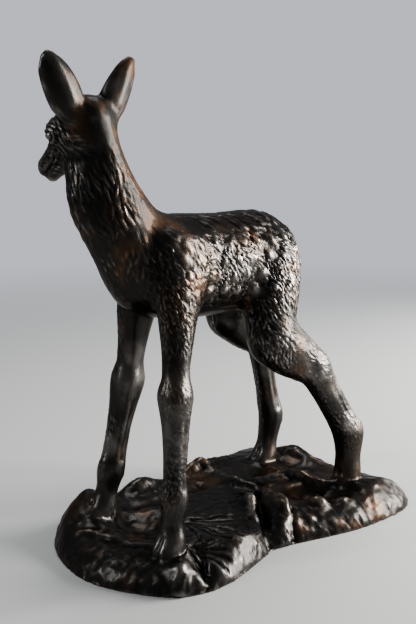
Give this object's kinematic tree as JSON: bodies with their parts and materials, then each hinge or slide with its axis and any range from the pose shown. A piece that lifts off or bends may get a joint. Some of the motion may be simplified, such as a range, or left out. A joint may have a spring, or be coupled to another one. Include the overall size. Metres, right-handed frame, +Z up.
{
  "type": "aluminum fawn statue",
  "caption": "Cast metal statue of a standing fawn looking over its right side, with its hooves run into a low rocky mound, in a dark glossy patina rubbed bright on the fur.",
  "frame": {"origin": "on the flat underside of the mound, below the fawn's barrel", "axes": "+Z up, the fawn's body facing -X with its left side towards -Y and its head turned towards +Y"},
  "size_m": [0.4968, 0.2985, 0.5903],
  "materials": {
    "patinated_aluminium": "dark brown-black glossy patina, rubbed to bright metal on the raised fur, edges and rocks"
  },
  "bodies": {
    "root": {"fawn_statue": "patinated_aluminium"}
  },
  "joints": []
}
